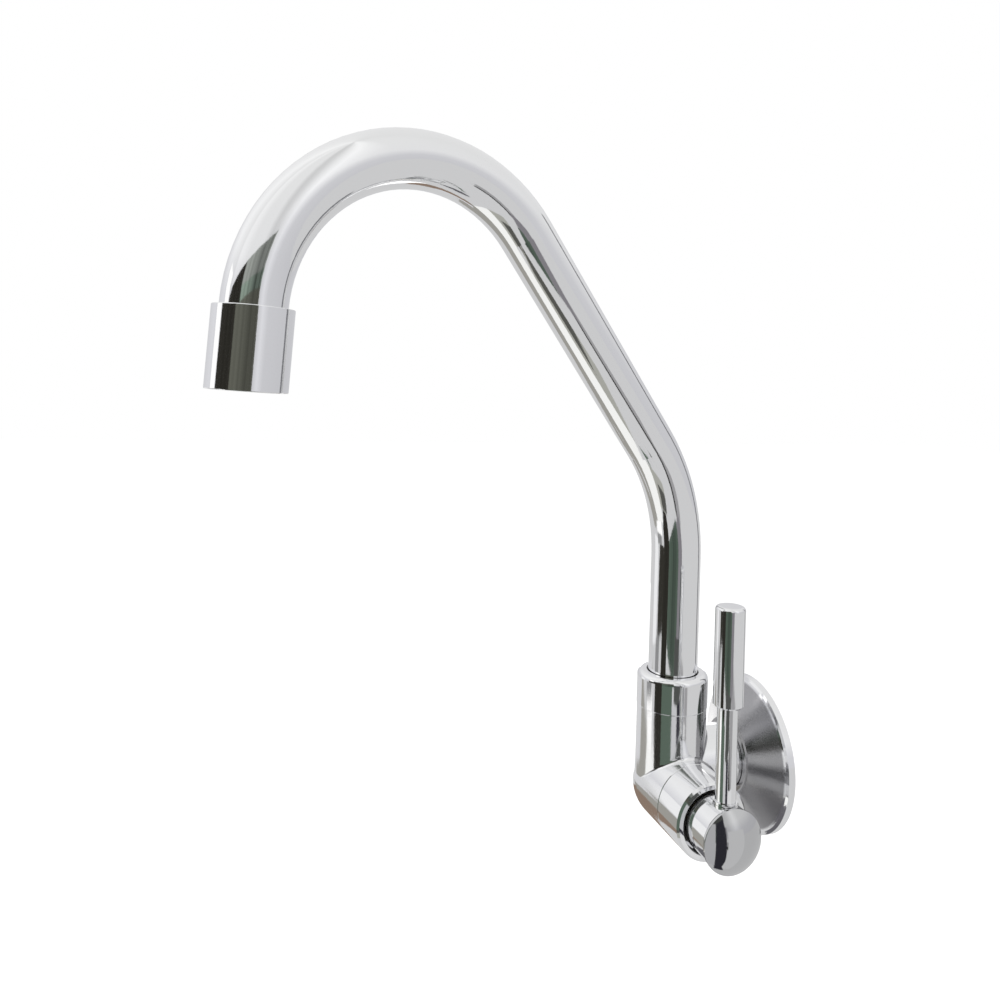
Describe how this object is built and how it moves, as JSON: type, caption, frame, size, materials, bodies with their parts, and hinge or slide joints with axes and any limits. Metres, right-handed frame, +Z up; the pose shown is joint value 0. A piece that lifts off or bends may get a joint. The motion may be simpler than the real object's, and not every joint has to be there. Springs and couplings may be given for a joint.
{
  "type": "wall-mounted kitchen tap",
  "caption": "Chromed wall-mounted cold tap with a swivelling swan-neck spout, an aerator, a side valve barrel with an upright lever, and a round dished wall flange.",
  "frame": {"origin": "on the axis of the threaded inlet where it meets the wall", "axes": "+Y along the inlet into the wall, +Z up, +X along the valve barrel to the lever"},
  "size_m": [0.0949, 0.2369, 0.267],
  "materials": {
    "chrome": "polished",
    "brass": "machined",
    "rubber": "matte",
    "white_plastic": "satin",
    "steel": "satin",
    "ceramic": "lapped"
  },
  "bodies": {
    "tap": {"tap_body": "chrome", "inlet_nipple": "brass", "collar_nut": "chrome", "bearing_bush": "white_plastic", "seat_seal": "rubber", "fixed_disc": "ceramic", "cartridge_housing": "brass", "mouth_seal": "rubber", "valve_shroud": "chrome"},
    "spout": {"spout_tube": "chrome", "spout_ferrule": "brass", "spout_o_rings": "rubber", "outlet_ferrule": "brass", "aerator_housing": "chrome", "aerator_gasket": "rubber", "aerator_diffuser": "white_plastic", "aerator_cage": "white_plastic", "aerator_screen": "steel"},
    "lever": {"moving_disc": "ceramic", "spindle": "brass", "spindle_o_rings": "rubber", "spindle_clip": "steel", "handle_hub": "chrome", "handle_screw": "steel", "handle_cap": "chrome", "lever_ring": "chrome", "lever_stem": "chrome", "lever_grip": "chrome"},
    "flange": {"wall_flange": "chrome", "flange_o_ring": "rubber"}
  },
  "joints": [
    {"name": "spout_swivel", "type": "hinge", "parent": "tap", "child": "spout", "pos_m": [0, -0.038, 0.0285], "axis": [0, 0, 1], "range_deg": [-111, 78]},
    {"name": "lever_turn", "type": "hinge", "parent": "tap", "child": "lever", "pos_m": [0, -0.038, -0.0085], "axis": [1, 0, 0], "range_deg": [0, 90]},
    {"name": "flange_slide", "type": "slide", "parent": "tap", "child": "flange", "axis": [0, -1, 0], "range_m": [0, 0.009]}
  ]
}
